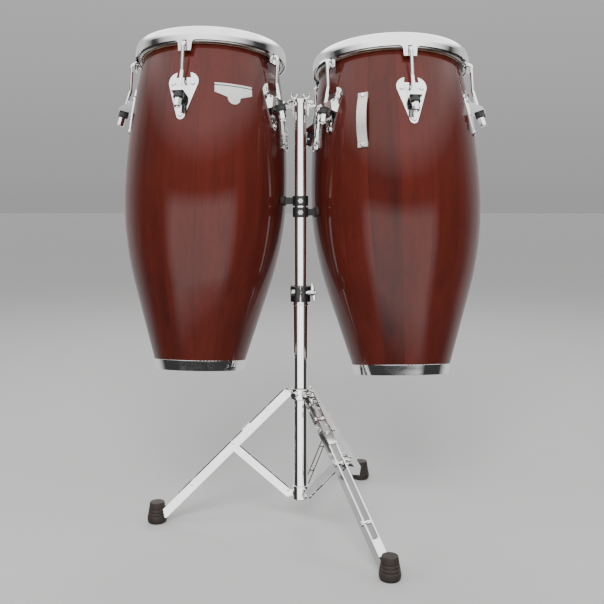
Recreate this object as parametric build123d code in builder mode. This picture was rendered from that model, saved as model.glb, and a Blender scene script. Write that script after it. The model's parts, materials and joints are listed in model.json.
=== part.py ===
from build123d import *

import os
from dataclasses import dataclass
from math import asin, atan2, cos, degrees, hypot, radians, sin, sqrt, tan

# A pair of barrel-shaped hand drums on one folding tripod stand.
# Millimetres. Origin: on the floor, on the axis of the stand's mast. +Z up, +X to the right-hand
# drum, -Y to the player. Each drum is modelled upright on its own bottom edge and then placed.

# ---------------------------------------------------------------- driving sizes: stand
MAST_D = 25.4
MAST_WALL = 1.6
MAST_LOW, MAST_TOP = 190.0, 918.0
BUSH_WALL = 1.5                 # of the bush and the sleeve between mast and base tube
BASE_WALL = 1.6
BASE_LOW, BASE_TOP = 58.0, 499.0
RUNNING = 0.05                  # radial clearance of every sliding or turning fit
FACE_GAP = 0.1                  # side clearance between flat faces that turn on each other
BEAD_Z, BEAD_H, BEAD_OUT = 474.0, 5.0, 1.2

BUSH_H, BUSH_FLOOR = 36.0, 3.5
SLEEVE_H, SLEEVE_FLANGE_H = 39.0, 2.5

CLAMP_WALL = 6.1
CLAMP_SKIRT, CLAMP_NECK = 16.0, 15.0    # grip on the base tube, and height above its sleeve
CLAMP_EAR_W, CLAMP_EAR_OUT = 24.0, 37.0
CLAMP_EAR_H, CLAMP_SLIT = 24.0, 3.0
CLAMP_BOLT_D, CLAMP_BOLT_OUT = 8.0, 15.3
CLAMP_HEAD_D, CLAMP_HEAD_L = 14.0, 10.0
CLAMP_WING_SPAN, CLAMP_WING_L, CLAMP_WING_T = 39.0, 13.0, 5.0
CLAMP_NUT_AF, CLAMP_NUT_L = 13.0, 6.5

LEG_ANGLES = {"left": 180.0, "front": -58.0, "rear": 61.0}
LEG_PIVOT_OUT, LEG_PIVOT_Z = 9.6, 282.0
LEG_LEAN = 45.4                 # angle of an open leg from the vertical
LEG_BAR_W, LEG_BAR_T = 18.0, 2.5
LEG_END_Z = 20.8                # height of an open leg's end above the floor
LEG_GAP = 15.5                  # between the two flat bars of a leg
LEG_TIP_L = 42.0                # solid end piece between the bars
LEG_BRIDGE_AT, LEG_BRIDGE_L, LEG_BRIDGE_T = 112.0, 22.0, 2.5
SPACER_D = 9.0
LEG_SPACERS = (58.0, 290.0)
STRUT_ON_LEG = 162.5            # from the leg's pivot to the strut's rivet
STRUT_PIVOT_OUT, STRUT_PIVOT_Z = 9.0, 65.0
STRUT_W, STRUT_T, STRUT_GAP = 16.0, 2.5, 7.5
STRUT_SPACERS = (0.3, 0.7)      # along the strut, as shares of its length
PIN_D, PIN_HEAD_D, PIN_HEAD_T = 6.0, 11.0, 2.2

COLLAR_WALL, COLLAR_H = 6.1, 24.0
HUB_WALL, HUB_LOW, HUB_TOP = 2.1, 52.0, 82.0
LUG_NOSE = 6.5                  # lug material around a pivot hole

FOOT_AIM_Z = 3.5                # where an open leg's centre line crosses its boot's
FOOT_LOW_D, FOOT_MID_D, FOOT_TOP_D = 37.0, 42.0, 31.0
FOOT_H, FOOT_MID_Z = 44.0, 9.0
POCKET_GAP = 0.1

SCREW_D, SCREW_HEAD_D, SCREW_HEAD_L = 6.0, 14.0, 10.0
COLLAR_SCREW_ANGLE = -120.0
THUMB_D, THUMB_HEAD_D, THUMB_HEAD_L = 4.0, 11.0, 8.0
SCREW_TIP_GAP = 0.15

CROSS_T, CROSS_W, CROSS_D = 7.5, 26.0, 32.0
ARM_NOSE = 10.0                 # of an arm of the crosshead, past its bolt
SPIGOT_L = 35.0
KNOB_OUT = 4.5                  # from a bracket's lip to its bolt
KNOB_BOLT_D, KNOB_REACH = 6.0, 18.0
KNOB_HUB_D, KNOB_HUB_H = 11.0, 7.0
KNOB_WING_SPAN, KNOB_WING_H, KNOB_WING_T = 20.0, 15.0, 3.0

BUMPER_WALL, BUMPER_H = 4.3, 22.0
BUMPER_Z = {"left": 703.0, "right": 678.0}
BUMPER_ARM_W, BUMPER_ARM_H = 12.0, 15.0
PAD_D, PAD_T, PAD_GAP = 22.0, 9.0, 0.8
PAD_ROUND = 1.5
PAD_STEM_D, PAD_STEM_L = 8.0, 5.0

# ---------------------------------------------------------------- driving sizes: drums
SHELL_H = 733.0
BELLY_Z, KNEE_Z = 403.0, 292.0
STAVE_T, GLUE_LINE = 10.0, 0.08
STAVES_PER_LUG = 3
BEARING_R = 5.0
BAND_H, BAND_T, BAND_SEAT = 22.0, 1.8, 0.1

SKIN_T, SKIN_SEAT = 1.8, 0.25
COLLAR_DROP = 38.0              # how far the skin comes down the outside of the shell
HOOP_D, HOOP_DROP = 9.5, 34.0

RIM_OUT = 26.0                  # rim's outside radius beyond the shell's at the bearing edge
RIM_T, RIM_DROP, RIM_H = 2.5, 35.0, 32.0
RIM_LEG_IN = 11.5               # from the rim's outside to its inner leg's outside
RIM_ROLL_H = 20.0
EAR_W, EAR_LOW_W, EAR_H = 31.0, 28.0, 24.0
EAR_ROUND = 8.5                 # where an ear runs into the rim's edge
ROD_SLOT_GAP = 1.6

ROD_D, HOOK_R = 8.0, 9.5
HOOK_SINK = 16.0                # hook's centre below the rim's lower edge
CRANK_DROP, CRANK_R, ROD_LEAN = 72.0, 24.0, 13.0
SHELF_AT, SHELF_W, SHELF_REACH, SHELF_LIP = 52.5, 27.0, 12.0, 7.0
SHELF_RISE = 30.0
ROD_HOLE_GAP = 0.5
BUSHING_D, BUSHING_L = 22.0, 13.0
NUT_AF, NUT_L, NUT_RECESS = 14.0, 20.0, 2.0
ROD_CHAMFER = 1.2

PLATE_T, PLATE_SEAT = 2.5, 0.15
PLATE_TOP_DROP, PLATE_H = 71.5, 105.0
SHOULDER_R, SHOULDER_X, TIP_R = 21.0, 12.0, 9.0
NOTCH_TOP_W, NOTCH_LOW_W, NOTCH_H = 29.0, 33.0, 12.0
BOLT_D, BOLT_HEAD_D, BOLT_HEAD_H = 5.0, 10.5, 2.6
BOLT_SIDE, BOLT_SHOULDER_DROP, BOLT_TIP_RISE = 21.0, 25.0, 9.5
WASHER_D, WASHER_T = 12.0, 1.0
BOLT_NUT_AF, BOLT_NUT_H, BOLT_END = 8.0, 4.0, 1.5
WASHER_SEAT = 0.25

BADGE_W, BADGE_H, BADGE_T = 84.0, 21.0, 1.4
BADGE_POINT, BADGE_LOBE_R, BADGE_LOBE_DROP = 14.0, 14.0, 21.0
BADGE_AZ, BADGE_DROP = -66.4, 103.3
BADGE_PIN_X, BADGE_PIN_D, BADGE_PIN_L = 34.0, 3.0, 7.0

HANDLE_W, HANDLE_L, HANDLE_T, HANDLE_RISE = 22.0, 123.0, 3.0, 13.0
HANDLE_FOOT_L, HANDLE_LIFT = 12.0, 4.0
HANDLE_AZ, HANDLE_DROP = -115.6, 162.0

BRACKET_W, BRACKET_H, BRACKET_T = 36.0, 104.0, 3.5
BRACKET_DROP = 52.0             # bracket plate's centre below the crosshead
LEDGE_W, LEDGE_T = 19.0, 6.0
LIP_T, LIP_H = 4.0, 28.0
LIP_GAP = 0.18                  # from a lip to the plane midway between the crosshead's arms
RAIL_W, RAIL_OUT, RAIL_GAP = 3.0, 9.0, 9.0
BRACKET_BOLT_X, BRACKET_BOLT_Z = 12.0, 36.0

# ---------------------------------------------------------------- sizes that follow
MAST_R = MAST_D / 2
MAST_BORE_R = MAST_R + RUNNING
BASE_BORE_R = MAST_BORE_R + BUSH_WALL + RUNNING
BASE_R = BASE_BORE_R + BASE_WALL
CLAMP_D = 2 * (BASE_R + CLAMP_WALL)
COLLAR_D = 2 * (BASE_R + COLLAR_WALL)
HUB_D = 2 * (BASE_R + HUB_WALL)
BUMPER_D = 2 * (MAST_R + BUMPER_WALL)
CLAMP_BOLT_Y = -(MAST_R + CLAMP_BOLT_OUT)
LEG_PIVOT_R = COLLAR_D / 2 + LEG_PIVOT_OUT
STRUT_PIVOT_R = HUB_D / 2 + STRUT_PIVOT_OUT
LEG_BAR_L = (LEG_PIVOT_Z - LEG_END_Z) / cos(radians(LEG_LEAN))
FOOT_R = LEG_PIVOT_R + (LEG_PIVOT_Z - FOOT_AIM_Z) * tan(radians(LEG_LEAN))
SLOT_W = ROD_D + ROD_SLOT_GAP
RIM_LOW = SHELL_H - RIM_DROP
PLATE_TOP = RIM_LOW - PLATE_TOP_DROP
PLATE_LOW = PLATE_TOP - PLATE_H
CRANK_Z = RIM_LOW - CRANK_DROP
CLAMP_LOW = BASE_TOP - CLAMP_SKIRT
CLAMP_STEP = BASE_TOP + SLEEVE_FLANGE_H + FACE_GAP
CLAMP_TOP = CLAMP_STEP + CLAMP_NECK
CLAMP_BOLT_Z = CLAMP_TOP - CLAMP_EAR_H / 2
HOOK_Z = RIM_LOW - HOOK_SINK
HOOK_INSIDE = HOOK_R - ROD_D / 2
SLOT_H = HOOK_SINK - sqrt(HOOK_INSIDE**2 - (RIM_T / 2 + FACE_GAP) ** 2) + FACE_GAP


def polar(radius, angle, z=0.0):
    """The point at a radius and an angle in degrees about the Z axis."""
    return Vector(radius * cos(radians(angle)), radius * sin(radians(angle)), z)


def wheel_plane(angle):
    """The upright plane through the Z axis at an angle: its x runs outwards and its y up."""
    side = polar(1, angle - 90)
    return Plane(origin=(0, 0, 0), x_dir=polar(1, angle), z_dir=side)


@dataclass
class Drum:
    """One drum: a stave shell that swells to a belly and draws in to its head and its foot."""
    side: str
    head_d: float       # outside of the staves at the bearing edge
    belly_d: float
    foot_d: float       # outside of the staves at the bottom edge
    lugs: int
    lug_start: float    # azimuth of the first lug about the drum's own axis
    bracket_az: float   # azimuth of the stand bracket, clear of the side plates
    foot_at: tuple      # where the drum's axis meets its bottom edge
    lean_x: float       # degrees that the axis leans towards +X
    lean_y: float       # degrees that the axis leans towards +Y

    def __post_init__(self):
        tip_x, tip_y = tan(radians(self.lean_x)), tan(radians(self.lean_y))
        self.plane = Plane(origin=self.foot_at, x_dir=(1, 0, -tip_x), z_dir=(tip_x, tip_y, 1))
        rise, draw = SHELL_H - BELLY_Z, (self.belly_d - self.head_d) / 2
        self.bend = (rise**2 + draw**2) / (2 * draw)
        self.rim_r = self.head_d / 2 + RIM_OUT
        self.rod_r = self.rim_r - RIM_T / 2 + HOOK_R

    def at(self, z, lift=0.0):
        """The (radius, height) of a point above the belly, lifted off the staves."""
        height = z - BELLY_Z
        return (self.belly_d / 2 - self.bend + sqrt((self.bend + lift) ** 2 - height**2), z)

    def seat(self, azimuth, z, lift=0.0):
        """The plane that touches the staves there: its x runs round the drum and its y up."""
        tilt = degrees(asin((z - BELLY_Z) / self.bend))
        out = polar(cos(radians(tilt)), azimuth, sin(radians(tilt)))
        foot = polar(self.at(z)[0], azimuth, z)
        return Plane(origin=foot + out * lift, x_dir=polar(1, azimuth + 90), z_dir=out)

    def on_rod(self, along):
        """The plane square to a tuning rod's lower run, at a distance below its crank."""
        down = Vector(sin(radians(ROD_LEAN)), 0, -cos(radians(ROD_LEAN)))
        return Plane(origin=Vector(self.rod_r, 0, CRANK_Z) + down * along, x_dir=(0, 1, 0), z_dir=down)

    def axis_at(self, z):
        """Where the drum's axis crosses a height above the floor."""
        lean = self.plane.z_dir
        return Vector(*self.foot_at) + lean * ((z - self.foot_at[2]) / lean.Z)

    def towards(self, z):
        """The angle about the mast at which the drum's axis lies, at a height above the floor."""
        point = self.axis_at(z)
        return degrees(atan2(point.Y, point.X))

    def off_mast(self, z):
        """How far the drum's axis is from the mast's axis, at a height above the floor."""
        point = self.axis_at(z)
        return hypot(point.X, point.Y)

    def pole_side(self, z):
        """The azimuth and height on the drum that face the mast at a height above the floor."""
        local = self.plane.to_local_coords(Vector(0, 0, z))
        return degrees(atan2(local.Y, local.X)), local.Z

    def bracket_line(self, z):
        """Where the stand bracket's centre line is at a height above the floor: height and point."""
        spot = z - self.foot_at[2]
        for _ in range(5):
            point = self.plane.from_local_coords(polar(self.at(spot)[0], self.bracket_az, spot))
            spot += z - point.Z
        return spot, point

    def arm(self):
        """The angle and the length of the crosshead's line to the drum's stand bracket."""
        point = self.bracket_line(MAST_TOP)[1]
        return degrees(atan2(point.Y, point.X)), hypot(point.X, point.Y)

    def place(self, part):
        """A part modelled on the upright drum, moved to where the drum stands."""
        return part.moved(self.plane.location)


LEFT = Drum("left", 298.0, 367.0, 187.0, 5, -102.8, -13.5, (-222.9, 18.5, 331.4), 1.15, 8.7)
RIGHT = Drum("right", 316.0, 387.0, 202.0, 6, -82.7, 199.5, (223.6, 21.8, 318.9), -0.85, 10.5)
DRUMS = (LEFT, RIGHT)


def lip_radius():
    """How far out the stand brackets' lips hang: clear of each other and of the mast."""
    half = radians(LEFT.arm()[0] - RIGHT.arm()[0]) / 2
    between = (LEDGE_W / 2 * cos(half) + LIP_GAP) / sin(half)
    return max(between, MAST_R + LIP_GAP)


LIP_R = lip_radius()
KNOB_R = LIP_R + LIP_T + KNOB_OUT
ARM_R = KNOB_R + ARM_NOSE
pieces = {}


# ---------------------------------------------------------------- drum pieces
def stave_outline(drum, lift):
    """Half of the shell's outline, from its axis to a surface lifted off the staves."""
    foot = (drum.foot_d / 2 + lift, 0)
    belly = (drum.belly_d / 2 + lift, BELLY_Z)
    lean = atan2(belly[0] - foot[0], KNEE_Z)
    bend_start = BELLY_Z - KNEE_Z
    knee = (belly[0] - bend_start * sin(lean), KNEE_Z - bend_start * cos(lean))
    top = drum.at(SHELL_H, lift)
    with BuildSketch() as outline:
        with BuildLine():
            Line((0, 0), foot)
            Line(foot, knee)
            TangentArc(belly, knee, tangent=(0, -1))
            TangentArc(belly, top, tangent=(0, 1))
            Line(top, (0, SHELL_H))
            Line((0, SHELL_H), (0, 0))
        make_face()
    return outline.sketch


def shell(drum, bolt_seats, pin_seats):
    """The staves, side by side round the drum, each bent to the same curve."""
    count = drum.lugs * STAVES_PER_LUG
    glue = degrees(2 * GLUE_LINE / drum.belly_d)
    with BuildSketch(Plane.XZ) as profile:
        add(stave_outline(drum, 0))
        add(stave_outline(drum, -STAVE_T), mode=Mode.SUBTRACT)
        fillet(profile.vertices().group_by(Axis.Y)[-1].sort_by(Axis.X)[-1], BEARING_R)
    with BuildPart() as stave:
        add(profile.sketch)
        revolve(axis=Axis.Z, revolution_arc=360 / count - glue)
    with BuildPart() as staves:
        with PolarLocations(0, count, start_angle=drum.lug_start - 180 / count):
            add(stave.part)
        with Locations(*bolt_seats):
            Cylinder(BOLT_D / 2 + RUNNING, 4 * STAVE_T, mode=Mode.SUBTRACT)
        if pin_seats:
            with Locations(*pin_seats):
                Cylinder(BADGE_PIN_D / 2 + RUNNING, 2 * (BADGE_PIN_L + FACE_GAP), mode=Mode.SUBTRACT)
    return staves.part


def bottom_band(drum):
    """The plated band round the bottom of the shell; it follows the taper of the staves."""
    slope = (drum.belly_d - drum.foot_d) / 2 / KNEE_Z
    low_r = drum.foot_d / 2 + BAND_SEAT
    high_r = low_r + slope * BAND_H
    with BuildPart() as band:
        with BuildSketch(Plane.XZ):
            with BuildLine():
                Polyline(
                    (low_r, 0), (low_r + BAND_T, 0), (high_r + BAND_T, BAND_H), (high_r, BAND_H), close=True
                )
            make_face()
        revolve(axis=Axis.Z)
        fillet(band.edges().group_by(Axis.Z)[-1].sort_by(SortBy.RADIUS)[-1], BAND_T / 3)
    return band.part


def cap_outline(drum, lift):
    """The top of the shell down to where the skin's collar ends, lifted off the staves."""
    low = SHELL_H - COLLAR_DROP
    top = SHELL_H + lift
    middle = (low + top) / 2
    with BuildSketch() as outline:
        with BuildLine():
            Line((0, low), drum.at(low, lift))
            ThreePointArc(drum.at(low, lift), drum.at(middle, lift), drum.at(top, lift))
            Line(drum.at(top, lift), (0, top))
            Line((0, top), (0, low))
        make_face()
        fillet(outline.vertices().group_by(Axis.Y)[-1].sort_by(Axis.X)[-1], BEARING_R + lift)
    return outline.sketch


def head(drum):
    """The skin: a flat disc over the bearing edge with a collar down the outside of the shell."""
    with BuildPart() as skin:
        with BuildSketch(Plane.XZ):
            add(cap_outline(drum, SKIN_SEAT + SKIN_T))
            add(cap_outline(drum, SKIN_SEAT), mode=Mode.SUBTRACT)
        revolve(axis=Axis.Z)
    return skin.part


def flesh_hoop(drum):
    """The round wire hoop that the skin is lapped on."""
    z = SHELL_H - HOOP_DROP
    lift = SKIN_SEAT + SKIN_T + SKIN_SEAT
    with BuildPart() as hoop:
        with Locations((0, 0, z)):
            Torus(drum.at(z, lift)[0] + HOOP_D / 2, HOOP_D / 2)
    return hoop.part


def rim(drum):
    """The rolled rim: an inner leg on the flesh hoop, a round top, an outer skirt, and its ears."""
    out = drum.rim_r
    leg = out - RIM_LEG_IN - RIM_T
    hoop_z = SHELL_H - HOOP_DROP
    leg_low = hoop_z + HOOP_D / 2 + FACE_GAP
    roll_z = RIM_LOW + RIM_H - RIM_ROLL_H
    crown = leg + (out - leg) / 2
    root = EAR_W / 2 + EAR_ROUND

    def skirt(inset):
        """Edges of the rim's outside, or of its inside when inset by its thickness."""
        left, right, low = leg + inset, out - inset, roll_z
        bend_r, roll_h = (crown - leg) - inset, RIM_ROLL_H - inset
        Line((left, leg_low), (left, low))
        EllipticalCenterArc((crown, low), bend_r, roll_h, start_angle=90, arc_size=90)
        EllipticalCenterArc((crown, low), bend_r, roll_h, start_angle=0, arc_size=90)
        Line((right, low), (right, RIM_LOW))

    with BuildPart() as ear:
        with BuildSketch(Plane.XY.offset(RIM_LOW - EAR_H)):
            Circle(out)
            Circle(out - RIM_T, mode=Mode.SUBTRACT)
        extrude(amount=EAR_H + RIM_T)
        with BuildSketch(Plane.YZ):
            with BuildLine():
                Line((0, RIM_LOW + RIM_T), (root, RIM_LOW + RIM_T))
                Line((root, RIM_LOW + RIM_T), (root, RIM_LOW))
                CenterArc((root, RIM_LOW - EAR_ROUND), EAR_ROUND, start_angle=90, arc_size=90)
                Polyline(
                    (EAR_W / 2, RIM_LOW - EAR_ROUND), (EAR_LOW_W / 2, RIM_LOW - EAR_H), (0, RIM_LOW - EAR_H)
                )
                mirror(about=Plane.YZ)
            make_face()
            with Locations((0, RIM_LOW - SLOT_H / 2)):
                Rectangle(SLOT_W, SLOT_H, mode=Mode.SUBTRACT)
        extrude(amount=2 * out, mode=Mode.INTERSECT)
    with BuildPart() as hoop:
        with BuildSketch(Plane.XZ):
            with BuildLine():
                skirt(0)
                skirt(RIM_T)
                Line((leg, leg_low), (leg + RIM_T, leg_low))
                Line((out, RIM_LOW), (out - RIM_T, RIM_LOW))
            make_face()
        revolve(axis=Axis.Z)
        with PolarLocations(0, drum.lugs, start_angle=drum.lug_start):
            add(ear.part)
    return hoop.part


def at_lugs(drum, part):
    """Copies of a part made at azimuth 0, one at each lug."""
    with BuildPart() as ring:
        with PolarLocations(0, drum.lugs, start_angle=drum.lug_start):
            add(part)
    return ring.part


def tuning_hook(drum):
    """A tuning rod: hooked in over the ear, straight down, cranked out, and down to its nut."""
    centre = drum.rim_r - RIM_T / 2
    turn = CRANK_R * tan(radians(ROD_LEAN / 2))
    end = SHELF_AT + BUSHING_L + NUT_L - NUT_RECESS
    with BuildPart() as rod:
        with BuildLine(Plane.XZ) as route:
            bow = ThreePointArc(
                (centre - HOOK_R, HOOK_Z), (centre, HOOK_Z + HOOK_R), (centre + HOOK_R, HOOK_Z)
            )
            drop = Line(bow @ 1, (centre + HOOK_R, CRANK_Z + turn))
            JernArc(drop @ 1, (0, -1), CRANK_R, ROD_LEAN)
            low = drum.on_rod(end).origin
            start = drum.on_rod(turn).origin
            Line((start.X, start.Z), (low.X, low.Z))
        with BuildSketch(Plane(origin=route.line @ 0, z_dir=route.line % 0)):
            Circle(ROD_D / 2)
        sweep()
    return rod.part


def on_rod_sleeve(drum, along, outer, sides, bore_d, length):
    """A sleeve threaded on a rod's lower run: flat-sided, or round when it has no sides."""
    run = drum.on_rod(along)
    with BuildPart() as sleeve:
        with BuildSketch(run):
            if sides:
                RegularPolygon(outer / 2, sides, major_radius=False)
            else:
                Circle(outer / 2)
            Circle(bore_d / 2, mode=Mode.SUBTRACT)
        extrude(amount=length)
        low_end = sleeve.faces().filter_by(GeomType.PLANE).sort_by(Axis(run.origin, run.z_dir))[-1]
        chamfer(low_end.outer_wire().edges(), ROD_CHAMFER)
    return sleeve.part


def shell_envelope(drum, lift):
    """Everything inside a surface lifted off the staves, above the belly."""
    low, high = BELLY_Z, SHELL_H
    middle = (low + high) / 2
    with BuildPart() as solid:
        with BuildSketch(Plane.XZ):
            with BuildLine():
                ThreePointArc(drum.at(low, lift), drum.at(middle, lift), drum.at(high, lift))
                Polyline(drum.at(high, lift), (0, high), (0, low), drum.at(low, lift))
            make_face()
        revolve(axis=Axis.Z)
    return solid.part


def skin_piece(drum, low, high, lift, thickness):
    """A thin ring that follows the staves between two heights, ready to be cut to an outline."""
    middle = (low + high) / 2
    inner, outer = lift, lift + thickness
    with BuildPart() as ring:
        with BuildSketch(Plane.XZ):
            with BuildLine():
                ThreePointArc(drum.at(low, outer), drum.at(middle, outer), drum.at(high, outer))
                Line(drum.at(high, outer), drum.at(high, inner))
                ThreePointArc(drum.at(high, inner), drum.at(middle, inner), drum.at(low, inner))
                Line(drum.at(low, inner), drum.at(low, outer))
            make_face()
        revolve(axis=Axis.Z)
    return ring.part


def side_plate(drum):
    """A pressed side plate: a drop shape with two horns, and the shelf that the rod pulls on."""
    under = drum.on_rod(SHELF_AT)
    across = Vector(cos(radians(ROD_LEAN)), 0, sin(radians(ROD_LEAN)))
    nose_low = under.origin + across * SHELF_REACH
    nose_top = nose_low - under.z_dir * SHELF_LIP
    root_low = under.origin - across * (SHELF_REACH * 2.4)
    root_top = Vector(drum.at(under.origin.Z + SHELF_RISE)[0] - PLATE_T, 0, under.origin.Z + SHELF_RISE)
    with BuildPart() as plate:
        add(skin_piece(drum, PLATE_LOW - 1, PLATE_TOP + 1, PLATE_SEAT, PLATE_T))
        with BuildSketch(Plane.YZ):
            with Locations((-SHOULDER_X, PLATE_TOP - SHOULDER_R), (SHOULDER_X, PLATE_TOP - SHOULDER_R)):
                Circle(SHOULDER_R)
            with Locations((0, PLATE_LOW + TIP_R)):
                Circle(TIP_R)
            make_hull()
            with BuildLine():
                Polyline(
                    (-NOTCH_TOP_W / 2, PLATE_TOP + 1),
                    (-NOTCH_LOW_W / 2, PLATE_TOP - NOTCH_H),
                    (NOTCH_LOW_W / 2, PLATE_TOP - NOTCH_H),
                    (NOTCH_TOP_W / 2, PLATE_TOP + 1),
                    close=True,
                )
            make_face(mode=Mode.SUBTRACT)
        extrude(amount=2 * drum.rim_r, mode=Mode.INTERSECT)
        with BuildSketch(Plane.XZ):
            with BuildLine():
                Polyline(*[(p.X, p.Z) for p in (root_low, nose_low, nose_top, root_top)], close=True)
            make_face()
        extrude(amount=SHELF_W / 2, both=True)
        add(shell_envelope(drum, PLATE_SEAT), mode=Mode.SUBTRACT)
        with Locations(drum.on_rod(SHELF_AT - SHELF_RISE)):
            Cylinder(
                ROD_D / 2 + ROD_HOLE_GAP, 2 * SHELF_RISE,
                align=(Align.CENTER, Align.CENTER, Align.MIN), mode=Mode.SUBTRACT,
            )
        with Locations(*lug_bolt_seats(drum, 0)):
            Cylinder(BOLT_D / 2 + RUNNING, 4 * PLATE_T, mode=Mode.SUBTRACT)
    return plate.part


def lug_bolt_seats(drum, azimuth):
    """Where the three bolts of one side plate pass through the staves."""
    shoulder_z = PLATE_TOP - BOLT_SHOULDER_DROP
    turn = degrees(BOLT_SIDE / drum.at(shoulder_z)[0])
    tip_z = PLATE_LOW + BOLT_TIP_RISE
    shoulders = [drum.seat(azimuth + s * turn, shoulder_z) for s in (-1, 1)]
    return [*shoulders, drum.seat(azimuth, tip_z)]


def bracket_seats(drum):
    """Where the four bolts of the stand bracket pass through the staves."""
    z = drum.bracket_line(MAST_TOP - BRACKET_DROP)[0]
    turn = degrees(BRACKET_BOLT_X / drum.at(z)[0])
    return [
        drum.seat(drum.bracket_az + s * turn, z + t * BRACKET_BOLT_Z) for s in (-1, 1) for t in (-1, 1)
    ]


def handle_seats(drum, lift):
    """Where the two bolts of the carrying handle pass through the staves, lifted off the staves."""
    z = RIM_LOW - HANDLE_DROP
    half = (HANDLE_L - HANDLE_FOOT_L) / 2
    return [drum.seat(HANDLE_AZ, z - half, lift), drum.seat(HANDLE_AZ, z + half, lift)]


def badge_seats(drum, lift):
    """Where the two pins of the badge go into the staves, lifted off the staves."""
    z = RIM_LOW - BADGE_DROP
    turn = degrees(BADGE_PIN_X / drum.at(z)[0])
    return [drum.seat(BADGE_AZ - turn, z, lift), drum.seat(BADGE_AZ + turn, z, lift)]


def bolt(grip):
    """A round-head bolt along +Z, its head seated at a grip above the staves' outside."""
    end = -(STAVE_T + WASHER_SEAT + WASHER_T + BOLT_NUT_H + BOLT_END)
    with BuildPart() as piece:
        with BuildSketch(Plane.XY.offset(grip)):
            Circle(BOLT_HEAD_D / 2)
        extrude(amount=BOLT_HEAD_H)
        fillet(piece.edges().sort_by(Axis.Z)[-1], BOLT_HEAD_H * 0.8)
        with BuildSketch(Plane.XY.offset(end)):
            Circle(BOLT_D / 2)
        extrude(amount=grip - end)
    return piece.part


def bolt_nut():
    """A nut on its washer, along +Z, against the inside of the staves."""
    washer = -(STAVE_T + WASHER_SEAT)
    with BuildPart() as piece:
        with BuildSketch(Plane.XY.offset(washer)):
            Circle(WASHER_D / 2)
            Circle(BOLT_D / 2 + RUNNING, mode=Mode.SUBTRACT)
        extrude(amount=-WASHER_T)
        with BuildSketch(Plane.XY.offset(washer - WASHER_T)):
            RegularPolygon(BOLT_NUT_AF / 2, 6, major_radius=False)
            Circle(BOLT_D / 2 + RUNNING, mode=Mode.SUBTRACT)
        extrude(amount=-BOLT_NUT_H)
    return piece.part


def put(part, seats):
    """Copies of a part that stands along +Z, one on each seat."""
    with BuildPart() as group:
        with Locations(*seats):
            add(part)
    return group.part


def badge(drum):
    """A blank shield: a bar that comes to a point below, with a round lobe over it, on two pins."""
    z = RIM_LOW - BADGE_DROP
    top, low = z + BADGE_H / 2, z - BADGE_H / 2
    lobe = z - BADGE_LOBE_DROP
    with BuildPart() as plate:
        add(skin_piece(drum, lobe - 2 * BADGE_LOBE_R, top + BADGE_LOBE_R, PLATE_SEAT, BADGE_T))
        with BuildSketch(Plane.YZ):
            with BuildLine():
                Polyline(
                    (-BADGE_W / 2, top), (BADGE_W / 2, top), (BADGE_W / 2, low),
                    (0, low - BADGE_POINT), (-BADGE_W / 2, low), close=True,
                )
            make_face()
            with Locations((0, lobe)):
                Circle(BADGE_LOBE_R)
        extrude(amount=2 * drum.rim_r, mode=Mode.INTERSECT)
    root = PLATE_SEAT + BADGE_T / 2
    with BuildPart() as piece:
        with Locations(Location((0, 0, 0), (0, 0, BADGE_AZ))):
            add(plate.part)
        with Locations(*badge_seats(drum, root)):
            Cylinder(
                BADGE_PIN_D / 2, BADGE_PIN_L + root,
                align=(Align.CENTER, Align.CENTER, Align.MIN), rotation=(180, 0, 0),
            )
    return piece.part


def handle(drum):
    """A bowed strap with a block at each end that stands it off the shell."""
    seat = drum.seat(HANDLE_AZ, RIM_LOW - HANDLE_DROP)
    frame = Plane(origin=seat.origin, x_dir=seat.y_dir, z_dir=seat.x_dir)
    bow = HANDLE_L / 2 - HANDLE_FOOT_L + HANDLE_T / 2
    low = HANDLE_LIFT - HANDLE_T
    with BuildPart() as strap:
        with BuildSketch(frame):
            with BuildLine():
                ThreePointArc((-bow, HANDLE_LIFT), (0, HANDLE_RISE), (bow, HANDLE_LIFT))
                Line((bow, HANDLE_LIFT), (bow, low))
                ThreePointArc((bow, low), (0, HANDLE_RISE - HANDLE_T), (-bow, low))
                Line((-bow, low), (-bow, HANDLE_LIFT))
            make_face()
            with GridLocations(HANDLE_L - HANDLE_FOOT_L, 0, 2, 1):
                Rectangle(HANDLE_FOOT_L, 2 * HANDLE_LIFT)
        extrude(amount=HANDLE_W / 2, both=True)
        add(shell_envelope(drum, PLATE_SEAT), mode=Mode.SUBTRACT)
        with Locations(*handle_seats(drum, 0)):
            Cylinder(BOLT_D / 2 + RUNNING, 8 * HANDLE_T, mode=Mode.SUBTRACT)
        with Locations(*handle_seats(drum, HANDLE_LIFT)):
            Cylinder(
                BOLT_HEAD_D / 2 + ROD_HOLE_GAP, HANDLE_RISE,
                align=(Align.CENTER, Align.CENTER, Align.MIN), mode=Mode.SUBTRACT,
            )
    return strap.part


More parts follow.
